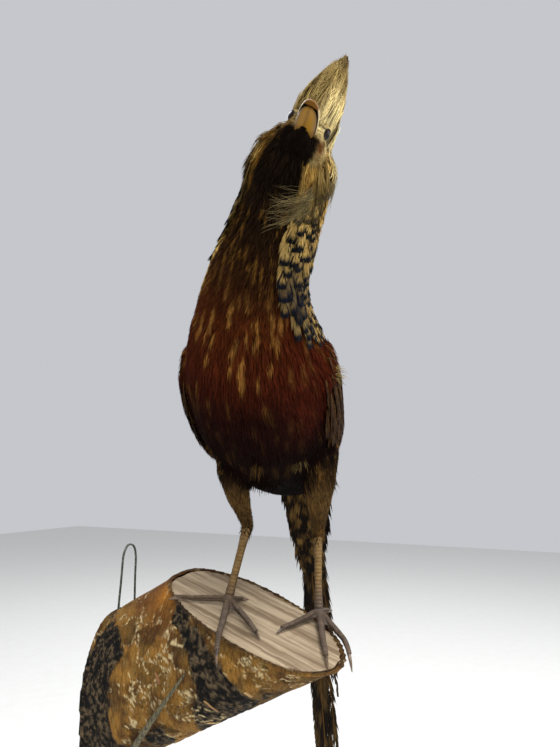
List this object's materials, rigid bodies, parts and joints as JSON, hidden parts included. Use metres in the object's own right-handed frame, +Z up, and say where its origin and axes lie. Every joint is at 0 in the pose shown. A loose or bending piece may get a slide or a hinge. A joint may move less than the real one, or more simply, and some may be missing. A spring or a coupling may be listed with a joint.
{
  "type": "golden pheasant mounted on a birch log",
  "caption": "Still, life-size taxidermy golden pheasant standing upright on the sawn face of a short birch log that hangs flat on a wall by a wire loop.",
  "frame": {"origin": "middle of the log's flat back, on the plane of the wall", "axes": "+Y into the wall, +Z up, +X to the right along the wall for someone facing it; the bird looks towards -X"},
  "size_m": [0.4171, 0.32, 0.7643],
  "materials": {
    "wood": "weathered saw cut",
    "bark": "peeling birch bark",
    "wire": "dull dark wire",
    "stem": "dry stem",
    "breast_feathers": "silky mahogany feathers with buff streaks",
    "neck_feathers": "dark brown feathers with gold flecks",
    "face_feathers": "short straw-brown feathers",
    "crest_feathers": "silky straw-gold feathers",
    "cape_feathers": "golden feathers edged in black",
    "wing_feathers": "brown and ochre barred feathers",
    "thigh_feathers": "ochre-brown down",
    "leg": "dry scaly skin",
    "claw": "horn",
    "bill": "amber horn",
    "eye": "polished glass eye",
    "tail_feathers": "dark brown feathers"
  },
  "bodies": {
    "root": {"log_wood": "wood", "log_bark": "bark", "hanger_wire": "wire", "hanger_staple_left": "wire", "hanger_staple_right": "wire", "dry_stem": "stem", "head": "face_feathers", "bill_upper": "bill", "bill_lower": "bill", "eye_left": "eye", "eye_right": "eye", "crest": "crest_feathers", "trunk": "breast_feathers", "neck": "neck_feathers", "cape": "cape_feathers", "wing_left": "wing_feathers", "wing_right": "wing_feathers", "thigh_left": "thigh_feathers", "thigh_right": "thigh_feathers", "shank_left": "leg", "shank_right": "leg", "foot_left": "leg", "foot_right": "leg", "claw_right_outer": "claw", "claw_right_middle": "claw", "claw_right_inner": "claw", "claw_right_hind": "claw", "claw_left_outer": "claw", "claw_left_middle": "claw", "claw_left_inner": "claw", "claw_left_hind": "claw", "tail_centre": "tail_feathers", "tail_left_1": "tail_feathers", "tail_right_1": "tail_feathers", "tail_left_2": "tail_feathers", "tail_right_2": "tail_feathers", "tail_left_3": "tail_feathers", "tail_right_3": "tail_feathers", "tail_coverts_upper": "wing_feathers", "tail_coverts_under": "tail_feathers"}
  },
  "joints": []
}
